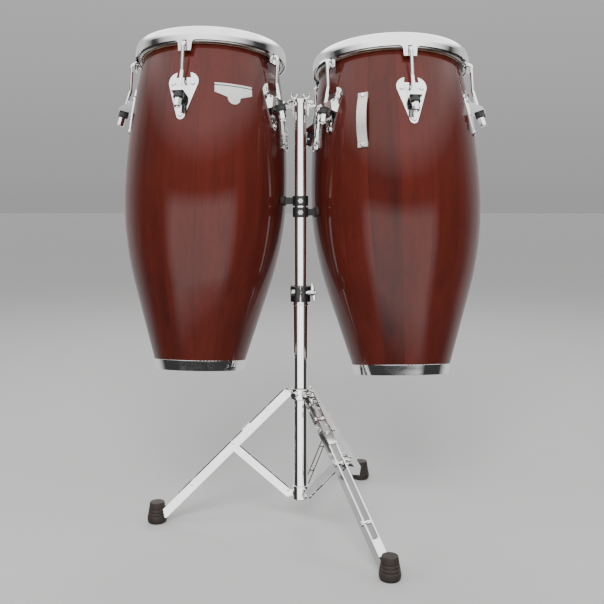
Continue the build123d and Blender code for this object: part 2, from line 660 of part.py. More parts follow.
def bracket(drum):
    """The stand bracket: a plate on the staves with two rails, and a ledge with a lip on the arm."""
    z = drum.bracket_line(MAST_TOP - BRACKET_DROP)[0]
    angle, reach = drum.arm()
    end = reach + STAVE_T
    top = MAST_TOP
    with BuildPart() as ledge:
        with BuildSketch(wheel_plane(angle)):
            with BuildLine():
                Polyline(
                    (LIP_R, top - FACE_GAP), (LIP_R, top - LIP_H), (LIP_R + LIP_T, top - LIP_H),
                    (LIP_R + LIP_T, top - LEDGE_T), (end, top - LEDGE_T), (end, top - FACE_GAP), close=True,
                )
            make_face()
        extrude(amount=LEDGE_W / 2, both=True)
        with Locations(polar(KNOB_R, angle, top)):
            Cylinder(KNOB_BOLT_D / 2 + RUNNING, 4 * LEDGE_T, mode=Mode.SUBTRACT)
    with BuildPart() as plate:
        add(skin_piece(drum, z - BRACKET_H / 2, z + BRACKET_H / 2, PLATE_SEAT, BRACKET_T))
        with BuildSketch(Plane.YZ):
            with Locations((0, z)):
                RectangleRounded(BRACKET_W, BRACKET_H - 2, 5)
        extrude(amount=2 * drum.rim_r, mode=Mode.INTERSECT)
    with BuildPart() as rails:
        add(skin_piece(drum, z - BRACKET_H / 2 + RAIL_W, z + BRACKET_H / 2 - RAIL_W, PLATE_SEAT, RAIL_OUT))
        with BuildSketch(Plane.YZ):
            with Locations((-RAIL_GAP / 2 + RAIL_W / 2, z), (RAIL_GAP / 2 - RAIL_W / 2, z)):
                Rectangle(RAIL_W, BRACKET_H)
        extrude(amount=2 * drum.rim_r, mode=Mode.INTERSECT)
    with BuildPart() as piece:
        with Locations(Location((0, 0, 0), (0, 0, drum.bracket_az))):
            add(plate.part)
            add(rails.part)
        add(ledge.part.moved(drum.plane.location.inverse()))
        add(shell_envelope(drum, PLATE_SEAT), mode=Mode.SUBTRACT)
        with Locations(*bracket_seats(drum)):
            Cylinder(BOLT_D / 2 + RUNNING, 4 * RAIL_OUT, mode=Mode.SUBTRACT)
    return piece.part


hooks, bushings, bolts, bolt_nuts, bands = [], [], [], [], []
for drum in DRUMS:
    lug_angles = [drum.lug_start + k * 360 / drum.lugs for k in range(drum.lugs)]
    lug_seats = [seat for angle in lug_angles for seat in lug_bolt_seats(drum, angle)]
    stand_seats = bracket_seats(drum)
    trim_seats = handle_seats(drum, 0) if drum is RIGHT else []
    pins = badge_seats(drum, 0) if drum is LEFT else []
    bolt_seats = lug_seats + stand_seats + trim_seats
    grips = (
        (lug_seats, PLATE_SEAT + PLATE_T + FACE_GAP),
        (stand_seats, PLATE_SEAT + BRACKET_T + FACE_GAP),
        (trim_seats, HANDLE_LIFT + FACE_GAP),
    )
    bolts += [drum.place(put(bolt(grip), seats)) for seats, grip in grips if seats]
    bolt_nuts.append(drum.place(put(bolt_nut(), bolt_seats)))
    bands.append(drum.place(bottom_band(drum)))
    hooks.append(drum.place(at_lugs(drum, tuning_hook(drum))))
    bushing = on_rod_sleeve(
        drum, SHELF_AT + FACE_GAP, BUSHING_D, 0, ROD_D + 2 * ROD_HOLE_GAP, BUSHING_L - FACE_GAP
    )
    bushings.append(drum.place(at_lugs(drum, bushing)))
    pieces[f"{drum.side}_shell"] = drum.place(shell(drum, bolt_seats, pins))
    pieces[f"{drum.side}_head"] = drum.place(head(drum))
    pieces[f"{drum.side}_flesh_hoop"] = drum.place(flesh_hoop(drum))
    pieces[f"{drum.side}_rim"] = drum.place(rim(drum))
    pieces[f"{drum.side}_side_plates"] = drum.place(at_lugs(drum, side_plate(drum)))
    pieces[f"{drum.side}_stand_bracket"] = drum.place(bracket(drum))
    nut = on_rod_sleeve(drum, SHELF_AT + BUSHING_L + FACE_GAP, NUT_AF, 6, ROD_D + 2 * RUNNING, NUT_L)
    for k, angle in enumerate(lug_angles, start=1):
        pieces[f"{drum.side}_tuning_nut_{k}"] = drum.place(nut.rotate(Axis.Z, angle))
pieces["left_badge"] = LEFT.place(badge(LEFT))
pieces["right_handle"] = RIGHT.place(handle(RIGHT))


def gather(parts):
    """Like pieces of both drums, kept as separate solids of one node."""
    with BuildPart() as group:
        for part in parts:
            add(part)
    return group.part


pieces["bottom_bands"] = gather(bands)
pieces["tuning_hooks"] = gather(hooks)
pieces["rod_bushings"] = gather(bushings)
pieces["shell_bolts"] = gather(bolts)
pieces["shell_bolt_nuts"] = gather(bolt_nuts)


# ---------------------------------------------------------------- stand: mast and base tube
def tube(outer_r, bore_r, low, high):
    """An upright tube about the mast's axis, between two heights."""
    with BuildPart() as piece:
        with BuildSketch(Plane.XY.offset(low)):
            Circle(outer_r)
            Circle(bore_r, mode=Mode.SUBTRACT)
        extrude(amount=high - low)
    return piece.part


with BuildPart() as base_tube:
    add(tube(BASE_R, BASE_BORE_R, BASE_LOW, BASE_TOP))
    add(tube(BASE_R + BEAD_OUT, BASE_BORE_R, BEAD_Z, BEAD_Z + BEAD_H))
    fillet(base_tube.edges().filter_by(GeomType.CIRCLE).sort_by(SortBy.RADIUS)[-2:], BEAD_OUT * 0.9)
pieces["base_tube"] = base_tube.part

with BuildPart() as mast:
    add(tube(MAST_R, MAST_R - MAST_WALL, MAST_LOW, MAST_TOP))
pieces["mast"] = mast.part

with BuildPart() as mast_bush:
    bush_low = MAST_LOW - BUSH_FLOOR - FACE_GAP
    add(tube(BASE_BORE_R - RUNNING, MAST_BORE_R, bush_low, bush_low + BUSH_H))
    with BuildSketch(Plane.XY.offset(bush_low)):
        Circle(BASE_BORE_R - RUNNING)
    extrude(amount=BUSH_FLOOR)
pieces["mast_bush"] = mast_bush.part

with BuildPart() as clamp_sleeve:
    add(tube(BASE_BORE_R - RUNNING, MAST_BORE_R, BASE_TOP - SLEEVE_H, BASE_TOP))
    add(tube(BASE_R - FACE_GAP, MAST_BORE_R, BASE_TOP, BASE_TOP + SLEEVE_FLANGE_H))
pieces["clamp_sleeve"] = clamp_sleeve.part

with BuildPart() as height_clamp:
    ear_depth = CLAMP_EAR_OUT - MAST_R
    with BuildSketch(Plane.XY.offset(CLAMP_LOW)):
        Circle(CLAMP_D / 2)
    extrude(amount=CLAMP_TOP - CLAMP_LOW)
    with BuildSketch(Plane.XY.offset(CLAMP_TOP - CLAMP_EAR_H)):
        with Locations((0, -MAST_R - ear_depth / 2)):
            Rectangle(CLAMP_EAR_W, ear_depth)
    extrude(amount=CLAMP_EAR_H)
    fillet(height_clamp.edges().filter_by(Axis.Z).group_by(Axis.Y)[0], 6)
    with BuildSketch(Plane.XY.offset(CLAMP_LOW)):
        Circle(BASE_R + RUNNING)
    extrude(amount=CLAMP_STEP - CLAMP_LOW, mode=Mode.SUBTRACT)
    with BuildSketch(Plane.XY.offset(CLAMP_STEP)):
        Circle(MAST_BORE_R)
    extrude(amount=CLAMP_NECK, mode=Mode.SUBTRACT)
    with BuildSketch(Plane.XY.offset(CLAMP_LOW)):
        with Locations((0, -CLAMP_EAR_OUT / 2)):
            Rectangle(CLAMP_SLIT, CLAMP_EAR_OUT)
    extrude(amount=CLAMP_TOP - CLAMP_LOW, mode=Mode.SUBTRACT)
    with Locations(Plane(origin=(0, CLAMP_BOLT_Y, CLAMP_BOLT_Z), z_dir=(1, 0, 0))):
        Cylinder(CLAMP_BOLT_D / 2 + RUNNING, 2 * CLAMP_EAR_W, mode=Mode.SUBTRACT)
pieces["height_clamp"] = height_clamp.part

with BuildPart() as clamp_bolt:
    head_x = CLAMP_EAR_W / 2 + FACE_GAP
    nut_x = head_x + CLAMP_NUT_L
    axis_plane = Plane(origin=(head_x, CLAMP_BOLT_Y, CLAMP_BOLT_Z), x_dir=(0, 1, 0), z_dir=(1, 0, 0))
    with BuildSketch(axis_plane):
        Circle(CLAMP_HEAD_D / 2)
    extrude(amount=CLAMP_HEAD_L)
    with BuildSketch(axis_plane.offset(CLAMP_HEAD_L)):
        SlotOverall(CLAMP_WING_SPAN, CLAMP_WING_T * 2, rotation=90)
    extrude(amount=CLAMP_WING_L)
    fillet(clamp_bolt.edges().group_by(Axis.X)[-1], CLAMP_WING_T / 2)
    with BuildSketch(axis_plane):
        Circle(CLAMP_BOLT_D / 2)
    extrude(amount=-(head_x + nut_x + 1))
pieces["clamp_bolt"] = clamp_bolt.part

with BuildPart() as clamp_nut:
    nut_plane = Plane(origin=(-head_x, CLAMP_BOLT_Y, CLAMP_BOLT_Z), x_dir=(0, 1, 0), z_dir=(-1, 0, 0))
    with BuildSketch(nut_plane):
        RegularPolygon(CLAMP_NUT_AF / 2, 6, major_radius=False)
        Circle(CLAMP_BOLT_D / 2 + RUNNING, mode=Mode.SUBTRACT)
    extrude(amount=CLAMP_NUT_L)
pieces["clamp_nut"] = clamp_nut.part


# ---------------------------------------------------------------- stand: tripod
def lug_block(angle, root_r, pivot_r, pivot_z, width, height):
    """The single ear that a leg or strut turns on, from its ring out past the pivot."""
    with BuildPart() as lug:
        with BuildSketch(wheel_plane(angle)):
            with Locations((pivot_r, pivot_z)):
                Circle(LUG_NOSE)
            with Locations(((root_r + pivot_r) / 2, pivot_z)):
                Rectangle(pivot_r - root_r, height)
        extrude(amount=width / 2 - FACE_GAP, both=True)
        with Locations(Plane(origin=polar(pivot_r, angle, pivot_z), z_dir=wheel_plane(angle).z_dir)):
            Cylinder(PIN_D / 2, 2 * width, mode=Mode.SUBTRACT)
    return lug.part


def pivot_pin(angle, pivot_r, pivot_z, grip):
    """A rivet through a pivot, with a head outside each bar."""
    side = wheel_plane(angle)
    with BuildPart(Plane(origin=polar(pivot_r, angle, pivot_z), z_dir=side.z_dir)) as pin:
        Cylinder(PIN_D / 2, grip + 2 * FACE_GAP)
        head_z = grip / 2 + FACE_GAP + PIN_HEAD_T / 2
        with Locations((0, 0, head_z), (0, 0, -head_z)):
            Cylinder(PIN_HEAD_D / 2, PIN_HEAD_T)
    return pin.part


def down_leg(along, across=0.0):
    """A point in a leg's plane, at a distance down the leg and off its centre line."""
    lean = radians(LEG_LEAN)
    r = LEG_PIVOT_R + along * sin(lean) + across * cos(lean)
    z = LEG_PIVOT_Z - along * cos(lean) + across * sin(lean)
    return r, z


STRUT_TOP = down_leg(STRUT_ON_LEG)
STRUT_L = hypot(STRUT_TOP[0] - STRUT_PIVOT_R, STRUT_TOP[1] - STRUT_PIVOT_Z)
STRUT_SLOPE = degrees(atan2(STRUT_TOP[1] - STRUT_PIVOT_Z, STRUT_TOP[0] - STRUT_PIVOT_R))
LEG_WIDTH = LEG_GAP + 2 * LEG_BAR_T
STRUT_WIDTH = STRUT_GAP + 2 * STRUT_T


def leg(angle):
    """A leg: two flat bars, spacers between them, a bridge on top and a solid end."""
    side = wheel_plane(angle)
    with BuildPart() as piece:
        for face in (1, -1):
            with BuildSketch(side.offset(face * LEG_GAP / 2)):
                with Locations(down_leg(LEG_BAR_L / 2)):
                    SlotCenterToCenter(LEG_BAR_L, LEG_BAR_W, rotation=LEG_LEAN - 90)
                with Locations((LEG_PIVOT_R, LEG_PIVOT_Z)):
                    Circle(PIN_D / 2 + RUNNING, mode=Mode.SUBTRACT)
            extrude(amount=face * LEG_BAR_T)
            with BuildSketch(side.offset(face * LEG_WIDTH / 2)):
                with Locations(STRUT_TOP, *[down_leg(s) for s in LEG_SPACERS]):
                    Circle(PIN_HEAD_D / 2)
            extrude(amount=face * PIN_HEAD_T)
        with BuildSketch(side):
            with Locations(*[down_leg(s) for s in LEG_SPACERS]):
                Circle(SPACER_D / 2)
            with Locations(down_leg(LEG_BAR_L - LEG_TIP_L / 2)):
                SlotCenterToCenter(LEG_TIP_L, LEG_BAR_W, rotation=LEG_LEAN - 90)
        extrude(amount=LEG_GAP / 2, both=True)
        with BuildSketch(side):
            with Locations(down_leg(LEG_BRIDGE_AT, LEG_BAR_W / 2 + LEG_BRIDGE_T / 2)):
                Rectangle(LEG_BRIDGE_L, LEG_BRIDGE_T, rotation=LEG_LEAN - 90)
        extrude(amount=LEG_WIDTH / 2, both=True)
    return piece.part


def strut(angle):
    """A strut: two flat bars with spacers; its upper end lies between the bars of the leg."""
    side = wheel_plane(angle)
    middle = ((STRUT_PIVOT_R + STRUT_TOP[0]) / 2, (STRUT_PIVOT_Z + STRUT_TOP[1]) / 2)
    run = Vector(*STRUT_TOP) - Vector(STRUT_PIVOT_R, STRUT_PIVOT_Z)
    spots = [(STRUT_PIVOT_R + run.X * s, STRUT_PIVOT_Z + run.Y * s) for s in STRUT_SPACERS]
    with BuildPart() as piece:
        for face in (1, -1):
            with BuildSketch(side.offset(face * STRUT_GAP / 2)):
                with Locations(middle):
                    SlotCenterToCenter(STRUT_L, STRUT_W, rotation=STRUT_SLOPE)
                with Locations((STRUT_PIVOT_R, STRUT_PIVOT_Z)):
                    Circle(PIN_D / 2 + RUNNING, mode=Mode.SUBTRACT)
            extrude(amount=face * STRUT_T)
        with BuildSketch(side):
            with Locations(STRUT_TOP, *spots):
                Circle(SPACER_D / 2)
        extrude(amount=STRUT_GAP / 2, both=True)
    return piece.part


def foot(angle):
    """A rubber boot, flat on the floor, with a pocket that the leg's solid end fills."""
    side = wheel_plane(angle)
    with BuildPart() as boot:
        with BuildSketch(Plane.XZ):
            with BuildLine():
                Line((0, 0), (FOOT_LOW_D / 2, 0))
                Spline(
                    (FOOT_LOW_D / 2, 0), (FOOT_MID_D / 2, FOOT_MID_Z), (FOOT_TOP_D / 2, FOOT_H),
                    tangents=((1, 1), (-1, 3)),
                )
                Line((FOOT_TOP_D / 2, FOOT_H), (0, FOOT_H))
                Line((0, FOOT_H), (0, 0))
            make_face()
        revolve(axis=Axis.Z)
        fillet(boot.edges().sort_by(Axis.Z)[-1], 3)
    with BuildPart() as piece:
        with Locations(polar(FOOT_R, angle)):
            add(boot.part)
        with BuildSketch(side):
            with Locations(down_leg(LEG_BAR_L - LEG_TIP_L)):
                SlotCenterToCenter(2 * LEG_TIP_L, LEG_BAR_W + 2 * POCKET_GAP, rotation=LEG_LEAN - 90)
            with Locations(down_leg(LEG_BAR_L - LEG_TIP_L / 2)):
                SlotCenterToCenter(LEG_TIP_L, LEG_BAR_W + 2 * POCKET_GAP, rotation=LEG_LEAN - 90)
        extrude(amount=LEG_WIDTH / 2 + POCKET_GAP, both=True, mode=Mode.SUBTRACT)
    return piece.part


def radial_screw(angle, z, outer_r, tip_r, shaft_d, head_d, head_l):
    """A thumb screw that points at the mast's axis: a fluted head outside and a shaft to its tip."""
    plane = Plane(origin=polar(outer_r + FACE_GAP, angle, z), x_dir=(0, 0, 1), z_dir=polar(1, angle))
    with BuildPart() as screw:
        with BuildSketch(plane):
            Circle(head_d / 2)
            with PolarLocations(head_d / 2, 6):
                Circle(head_d / 9, mode=Mode.SUBTRACT)
        extrude(amount=head_l)
        with BuildSketch(plane):
            Circle(shaft_d / 2)
        extrude(amount=-(outer_r + FACE_GAP - tip_r - SCREW_TIP_GAP))
    return screw.part


def ring_with_bore(outer_r, bore_r, z, height, screw_angle, screw_d):
    """A ring about the mast's axis with a radial hole for its screw."""
    with BuildPart() as ring:
        add(tube(outer_r, bore_r, z - height / 2, z + height / 2))
        fillet(ring.edges().filter_by(GeomType.CIRCLE).sort_by(SortBy.RADIUS)[-2:], 1.5)
        with Locations(Plane(origin=polar(outer_r, screw_angle, z), z_dir=polar(1, screw_angle))):
            Cylinder(screw_d / 2 + RUNNING, outer_r, mode=Mode.SUBTRACT)
    return ring.part


with BuildPart() as leg_collar:
    add(
        ring_with_bore(
            COLLAR_D / 2, BASE_R + RUNNING, LEG_PIVOT_Z, COLLAR_H, COLLAR_SCREW_ANGLE, SCREW_D
        )
    )
    for angle in LEG_ANGLES.values():
        add(lug_block(angle, BASE_R + 1, LEG_PIVOT_R, LEG_PIVOT_Z, LEG_GAP, 2 * LUG_NOSE))
pieces["leg_collar"] = leg_collar.part
pieces["collar_screw"] = radial_screw(
    COLLAR_SCREW_ANGLE, LEG_PIVOT_Z, COLLAR_D / 2, BASE_R, SCREW_D, SCREW_HEAD_D, SCREW_HEAD_L
)

with BuildPart() as base_hub:
    with BuildSketch(Plane.XY.offset(HUB_LOW)):
        Circle(HUB_D / 2)
    extrude(amount=HUB_TOP - HUB_LOW)
    fillet(base_hub.edges().filter_by(GeomType.CIRCLE), 1.5)
    with BuildSketch(Plane.XY.offset(BASE_LOW)):
        Circle(BASE_R + RUNNING)
    extrude(amount=HUB_TOP, mode=Mode.SUBTRACT)
    for angle in LEG_ANGLES.values():
        add(lug_block(angle, BASE_R + 1, STRUT_PIVOT_R, STRUT_PIVOT_Z, STRUT_GAP, 2 * LUG_NOSE))
pieces["base_hub"] = base_hub.part

for name, angle in LEG_ANGLES.items():
    pieces[f"leg_{name}"] = leg(angle)
    pieces[f"strut_{name}"] = strut(angle)
    pieces[f"foot_{name}"] = foot(angle)
pieces["leg_pins"] = gather([pivot_pin(a, LEG_PIVOT_R, LEG_PIVOT_Z, LEG_WIDTH) for a in LEG_ANGLES.values()])
pieces["strut_pins"] = gather(
    [pivot_pin(a, STRUT_PIVOT_R, STRUT_PIVOT_Z, STRUT_WIDTH) for a in LEG_ANGLES.values()]
)

# ---------------------------------------------------------------- stand: crosshead and bumpers
with BuildPart() as crosshead:
    arm_angles = [drum.arm()[0] for drum in DRUMS]
    with BuildSketch(Plane.XY.offset(MAST_TOP)):
        Circle(CROSS_D / 2)
        for angle in arm_angles:
            with Locations(polar(ARM_R / 2, angle)):
                Rectangle(ARM_R, CROSS_W, rotation=angle)
    extrude(amount=CROSS_T)
    fillet(crosshead.edges().group_by(Axis.Z)[-1], 1.0)
    with BuildSketch(Plane.XY.offset(MAST_TOP)):
        Circle(MAST_R - MAST_WALL - RUNNING)
    extrude(amount=-SPIGOT_L)
    with Locations(*[polar(KNOB_R, angle, MAST_TOP) for angle in arm_angles]):
        Cylinder(KNOB_BOLT_D / 2 + RUNNING, 4 * CROSS_T, mode=Mode.SUBTRACT)
pieces["crosshead"] = crosshead.part


def crosshead_knob(angle):
    """A wing bolt that holds a drum's bracket up against the crosshead's arm."""
    seat_z = MAST_TOP + CROSS_T + FACE_GAP
    origin = polar(KNOB_R, angle, seat_z)
    with BuildPart() as knob:
        with BuildSketch(Plane(origin=origin)):
            Circle(KNOB_HUB_D / 2)
        extrude(amount=KNOB_HUB_H)
        with BuildSketch(Plane(origin=origin, x_dir=polar(1, angle + 90), z_dir=polar(1, angle))):
            with BuildLine():
                half = KNOB_WING_SPAN / 2
                Polyline((-2, 1), (-half, KNOB_WING_H), (-half + 5, KNOB_WING_H), (0, KNOB_HUB_H))
                Polyline((0, KNOB_HUB_H), (half - 5, KNOB_WING_H), (half, KNOB_WING_H), (2, 1), (-2, 1))
            make_face()
        extrude(amount=KNOB_WING_T / 2, both=True)
        with BuildSketch(Plane(origin=origin)):
            Circle(KNOB_BOLT_D / 2)
        extrude(amount=-(CROSS_T + KNOB_REACH))
    return knob.part


for drum in DRUMS:
    pieces[f"{drum.side}_crosshead_knob"] = crosshead_knob(drum.arm()[0])


def shell_gap(drum, z):
    """From the mast's axis to the nearest point of a drum's staves, at a height above the floor."""
    azimuth, local_z = drum.pole_side(z)
    return drum.off_mast(z) - drum.at(max(local_z, BELLY_Z))[0]


for drum in DRUMS:
    z = BUMPER_Z[drum.side]
    angle = drum.towards(z)
    pad_face = shell_gap(drum, z) - PAD_GAP
    pad_root = pad_face - PAD_T
    front = -90.0
    pad_seat = Plane(origin=polar(pad_root, angle, z), z_dir=polar(1, angle))
    with BuildPart() as bumper:
        add(ring_with_bore(BUMPER_D / 2, MAST_BORE_R, z, BUMPER_H, front, THUMB_D))
        with BuildSketch(Plane.XY.offset(z - BUMPER_ARM_H / 2)):
            with Locations(polar((MAST_R + 2 + pad_root) / 2, angle)):
                Rectangle(pad_root - MAST_R - 2, BUMPER_ARM_W, rotation=angle)
        extrude(amount=BUMPER_ARM_H)
        with Locations(pad_seat):
            Cylinder(PAD_STEM_D / 2 + RUNNING, 2 * PAD_STEM_L, mode=Mode.SUBTRACT)
    with BuildPart() as pad:
        with BuildSketch(pad_seat):
            Circle(PAD_D / 2)
        extrude(amount=PAD_T)
        fillet(pad.edges().filter_by(GeomType.CIRCLE), PAD_ROUND)
        with BuildSketch(pad_seat):
            Circle(PAD_STEM_D / 2)
        extrude(amount=-PAD_STEM_L)
    pieces[f"{drum.side}_bumper"] = bumper.part
    pieces[f"{drum.side}_bumper_pad"] = pad.part
    pieces[f"{drum.side}_bumper_screw"] = radial_screw(
        front, z, BUMPER_D / 2, MAST_R, THUMB_D, THUMB_HEAD_D, THUMB_HEAD_L
    )

# ---------------------------------------------------------------- write every piece
os.makedirs("parts", exist_ok=True)
for node, piece in pieces.items():
    piece.label = node
    export_step(piece, f"parts/{node}.step")
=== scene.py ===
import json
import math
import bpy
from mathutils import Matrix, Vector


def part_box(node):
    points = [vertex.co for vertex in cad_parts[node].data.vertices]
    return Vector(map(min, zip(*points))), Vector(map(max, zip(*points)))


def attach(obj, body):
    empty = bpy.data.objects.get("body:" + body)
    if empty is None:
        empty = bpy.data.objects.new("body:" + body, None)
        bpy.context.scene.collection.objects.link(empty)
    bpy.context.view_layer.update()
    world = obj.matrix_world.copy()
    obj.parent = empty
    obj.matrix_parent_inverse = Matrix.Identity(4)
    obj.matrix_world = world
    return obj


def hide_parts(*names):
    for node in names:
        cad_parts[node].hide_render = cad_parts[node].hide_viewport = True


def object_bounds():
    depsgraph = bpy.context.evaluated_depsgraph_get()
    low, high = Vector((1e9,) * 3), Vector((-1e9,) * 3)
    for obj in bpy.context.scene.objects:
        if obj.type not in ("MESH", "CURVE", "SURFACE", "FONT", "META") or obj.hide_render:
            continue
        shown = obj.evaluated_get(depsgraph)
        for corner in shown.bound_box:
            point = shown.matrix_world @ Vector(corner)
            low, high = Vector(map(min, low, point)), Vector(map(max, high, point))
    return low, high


bl_info = {
    "name": "Conga Drum Pair",
    "version": (1, 0, 0),
    "blender": (4, 5, 0),
    "location": "View3D > Sidebar > Congas",
    "description": "Builds the drums' shells, heads and trim and the stand's boots and wing bolts",
    "category": "Add Mesh",
}

import bpy
import numpy as np
from bpy.props import FloatProperty, FloatVectorProperty, IntProperty, PointerProperty
from mathutils import Matrix, Vector

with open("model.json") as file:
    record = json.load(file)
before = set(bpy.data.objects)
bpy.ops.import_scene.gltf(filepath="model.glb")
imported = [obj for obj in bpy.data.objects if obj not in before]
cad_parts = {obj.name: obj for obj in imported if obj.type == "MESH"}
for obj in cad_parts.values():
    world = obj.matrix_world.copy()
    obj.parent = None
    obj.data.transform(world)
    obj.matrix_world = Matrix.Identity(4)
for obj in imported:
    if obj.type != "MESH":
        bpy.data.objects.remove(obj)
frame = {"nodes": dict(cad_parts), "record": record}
NODES = frame["nodes"]
CAD_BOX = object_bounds()
MM = 0.001
SIDES = ("left", "right")
LUGS = {side: sum(name.startswith(f"{side}_tuning_nut_") for name in NODES) for side in SIDES}
STAVES_PER_LUG = 3
OWN_FINISH = {"left_badge": "shield_face"}  # nodes whose finish isn't named after their slot

CAMERA_AT = (0, -1.755, 0.705)
CAMERA_LENS, CAMERA_SENSOR = 47.7, 36.0
CAMERA_SHIFT = (0.0025, -0.169)
LAMPS_AIM = Vector((0, 0, 0.62))
FLOOR_SIZE = 80


# ---------------------------------------------------------------- where the drums are
class DrumPlace:
    """A drum's own axes, read from the ring of its flesh hoop and the ends of its shell."""

    def __init__(self, side):
        hoop = corners(f"{side}_flesh_hoop")
        axis = Vector(np.linalg.svd(hoop - hoop.mean(axis=0), full_matrices=False)[2][2])
        axis = axis if axis.z > 0 else -axis
        sideways = Vector((0, 1, 0)).cross(axis).normalized()
        turn = Matrix((sideways, axis.cross(sideways), axis))
        ring = hoop @ np.array(turn).T
        along = corners(f"{side}_shell") @ np.array(axis)
        across = (ring.max(axis=0) + ring.min(axis=0)) / 2
        self.foot = turn.transposed() @ Vector((across[0], across[1], along.min()))
        self.height = float(along.max() - along.min())
        self.matrix = Matrix.Translation(self.foot) @ turn.transposed().to_4x4()

    def local(self, node):
        """A node's vertices in the drum's own axes: across, across and up from its foot."""
        points = corners(node)
        inverse = np.array(self.matrix.inverted())
        return points @ inverse[:3, :3].T + inverse[:3, 3]

    def rounds(self, node):
        """A node's radius, azimuth and height of every vertex about the drum's axis."""
        x, y, z = self.local(node).T
        return np.hypot(x, y), np.arctan2(y, x), z


def corners(node):
    """A node's vertices as an array."""
    mesh = NODES[node].data
    flat = np.zeros(len(mesh.vertices) * 3)
    mesh.vertices.foreach_get("co", flat)
    return flat.reshape(-1, 3)


DRUMS = {side: DrumPlace(side) for side in SIDES}


def first_lug(side):
    """The azimuth of a drum's first lug, from the first tuning nut."""
    x, y, _ = DRUMS[side].local(f"{side}_tuning_nut_1").mean(axis=0)
    return math.atan2(y, x)


# ---------------------------------------------------------------- settings
class ShellSettings(bpy.types.PropertyGroup):
    """Sizes and stain of the stave shells."""

    belly_height: FloatProperty(
        name="Belly height", description="From the foot to the widest place", default=403 * MM, unit="LENGTH"
    )
    knee_height: FloatProperty(
        name="Knee height", description="Where the straight taper would meet the belly's line",
        default=292 * MM, unit="LENGTH",
    )
    wall: FloatProperty(name="Stave thickness", description="Of the wood", default=10 * MM, unit="LENGTH")
    edge_round: FloatProperty(
        name="Bearing edge", description="Radius of the bearing edge", default=5 * MM, unit="LENGTH"
    )
    stain: FloatVectorProperty(
        name="Stain",
        description="Colour of the lacquered staves",
        subtype="COLOR",
        default=(0.074, 0.0105, 0.0065),
    )
    dark: FloatVectorProperty(
        name="Dark grain",
        description="Colour of the darkest figure",
        subtype="COLOR",
        default=(0.026, 0.0052, 0.0052),
    )
    bare: FloatVectorProperty(
        name="Bare wood", description="Colour inside the shell", subtype="COLOR", default=(0.38, 0.23, 0.12)
    )


class HeadSettings(bpy.types.PropertyGroup):
    """Sizes and colour of the skins."""

    skin: FloatProperty(name="Skin", description="Thickness of the hide", default=1.8 * MM, unit="LENGTH")
    crown: FloatProperty(
        name="Crown",
        description="Height of the playing surface at its middle",
        default=1.4 * MM,
        unit="LENGTH",
    )
    hide: FloatVectorProperty(
        name="Hide", description="Colour of the skin", subtype="COLOR", default=(0.66, 0.54, 0.38)
    )


class StandSettings(bpy.types.PropertyGroup):
    """Details of the boots and the wing bolts."""

    boot_ribs: IntProperty(
        name="Boot ribs", description="Rings moulded round each boot", default=3, min=0, max=6
    )
    rib_depth: FloatProperty(
        name="Rib depth", description="How deep the boot's grooves are", default=0.9 * MM, unit="LENGTH"
    )
    wing_thickness: FloatProperty(
        name="Wing thickness", description="Of the wing bolts' wings", default=3 * MM, unit="LENGTH"
    )


# ---------------------------------------------------------------- shader maths
class Wire:
    """A material's socket that takes part in Python expressions."""

    def __init__(self, finish, socket):
        self.finish = finish
        self.socket = socket

    def _math(self, operation, first, second):
        return self.finish.node("ShaderNodeMath", {"operation": operation}, {0: first, 1: second})

    def __add__(self, other):
        return self._math("ADD", self, other)

    def __sub__(self, other):
        return self._math("SUBTRACT", self, other)

    def __mul__(self, other):
        return self._math("MULTIPLY", self, other)

    def __rsub__(self, other):
        return self._math("SUBTRACT", other, self)

    __radd__ = __add__


class Wiring:
    """A node tree that is written as calls and expressions."""

    def __init__(self, owner, shader, output):
        owner.use_nodes = True
        self.tree = owner.node_tree
        self.tree.nodes.clear()
        self.shader = self.tree.nodes.new(shader)
        end = self.tree.nodes.new(output)
        self.tree.links.new(self.shader.outputs[0], end.inputs["Surface"])

    def node(self, kind, settings=None, inputs=None, out=0):
        """A node of a type with its settings, then its sockets' values or links; gives one output."""
        made = self.tree.nodes.new(kind)
        for key, value in (settings or {}).items():
            if key == "stops":
                ramp = made.color_ramp
                while len(ramp.elements) < len(value):
                    ramp.elements.new(0.5)
                for element, (place, colour) in zip(ramp.elements, value):
                    element.position = place
                    element.color = (*colour, 1)
            else:
                setattr(made, key, value)
        for key, value in (inputs or {}).items():
            self.feed(made.inputs[key], value)
        return Wire(self, made.outputs[out])

    def feed(self, socket, value):
        """A value or another node's output into a socket."""
        if isinstance(value, Wire):
            self.tree.links.new(value.socket, socket)
        elif socket.type == "RGBA":
            socket.default_value = (*value, 1)
        else:
            socket.default_value = value

    def set(self, **sockets):
        """Sockets of the shader, named with underscores for spaces."""
        for key, value in sockets.items():
            self.feed(self.shader.inputs[key.replace("_", " ")], value)
        return self

    def spread(self, value, low, high, to_low=0.0, to_high=1.0):
        """A value mapped from one range to another, and held within it."""
        ends = {0: value, 1: low, 2: high, 3: to_low, 4: to_high}
        return self.node("ShaderNodeMapRange", {"clamp": True}, ends)

    def tint(self, amount, first, second):
        """A mix of two colours."""
        return self.node("ShaderNodeMix", {"data_type": "RGBA"}, {0: amount, 6: first, 7: second}, out=2)


